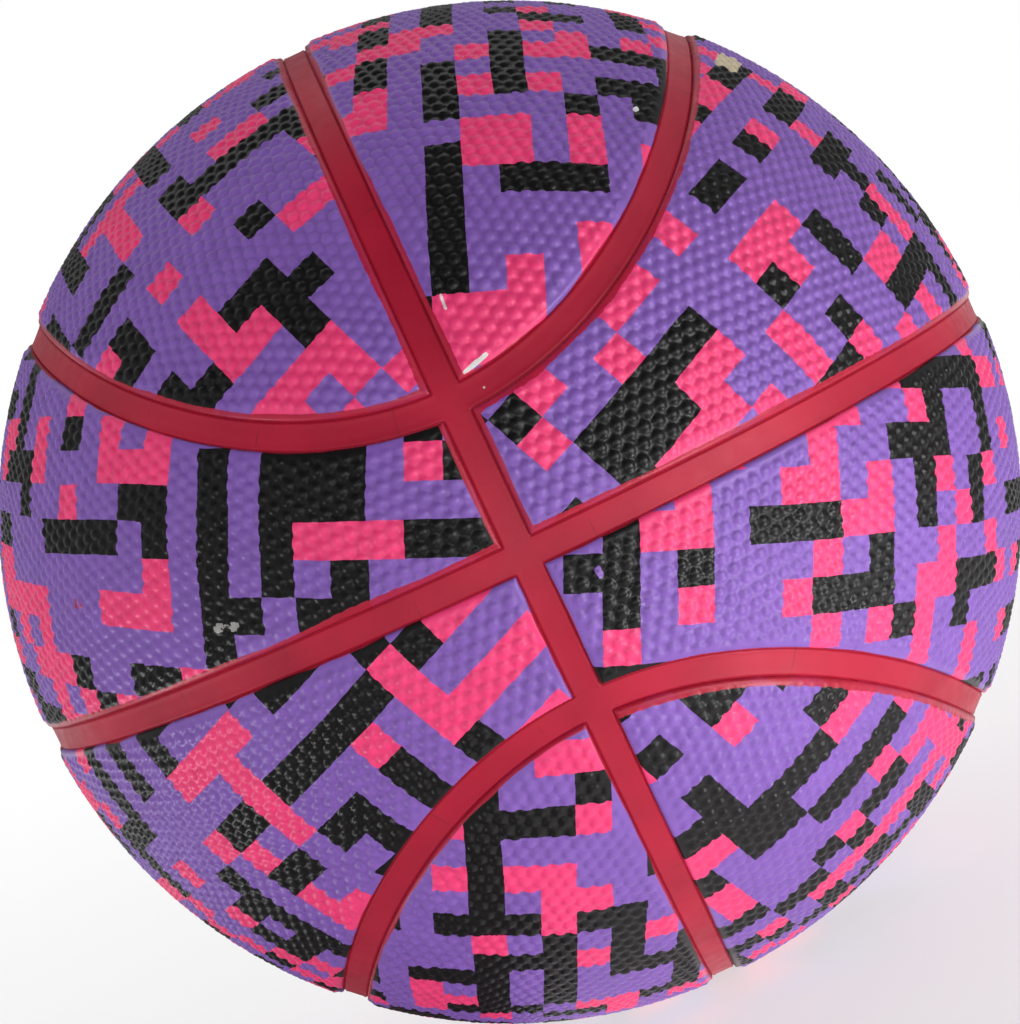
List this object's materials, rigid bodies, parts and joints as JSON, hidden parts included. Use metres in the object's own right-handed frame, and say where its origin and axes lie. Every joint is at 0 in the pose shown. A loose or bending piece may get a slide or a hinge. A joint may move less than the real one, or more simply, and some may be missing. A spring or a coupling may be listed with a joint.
{
  "type": "basketball",
  "caption": "Full-size inflated ball of moulded rubber: pebbled cover panels with recessed coloured channels over a thread-wound bladder, with a needle valve.",
  "frame": {"origin": "centre of the ball", "axes": "-Y points out of the front crossing of the two straight seams, +X runs along the equator seam to the right, +Z runs along the meridian seam to the upper crown; the valve is on the +Y side"},
  "size_m": [0.243, 0.2428, 0.243],
  "materials": {
    "cover_rubber": "satin",
    "channel_rubber": "satin",
    "carcass_rubber": "matte",
    "nylon_thread": "matte",
    "butyl_rubber": "satin",
    "valve_rubber": "matte"
  },
  "bodies": {
    "ball": {"bladder": "butyl_rubber", "nylon_winding": "nylon_thread", "carcass": "carcass_rubber", "side_panel_upper_left": "cover_rubber", "side_panel_upper_right": "cover_rubber", "side_panel_lower_left": "cover_rubber", "side_panel_lower_right": "cover_rubber", "crown_panel_upper_left": "cover_rubber", "crown_panel_upper_right": "cover_rubber", "crown_panel_lower_left": "cover_rubber", "crown_panel_lower_right": "cover_rubber", "equator_strip": "channel_rubber", "curve_strip_upper": "channel_rubber", "curve_strip_lower": "channel_rubber", "meridian_strip_front_upper": "channel_rubber", "meridian_strip_front_lower": "channel_rubber", "meridian_strip_crown_upper": "channel_rubber", "meridian_strip_crown_lower": "channel_rubber", "meridian_strip_back_upper": "channel_rubber", "meridian_strip_back_lower": "channel_rubber", "valve_seat": "valve_rubber"},
    "plug": {"valve_plug": "valve_rubber"}
  },
  "joints": [
    {"name": "valve_plug_slide", "type": "slide", "parent": "ball", "child": "plug", "axis": [0.5514, 0.7874, 0.2756], "range_m": [0, 0.018]}
  ]
}
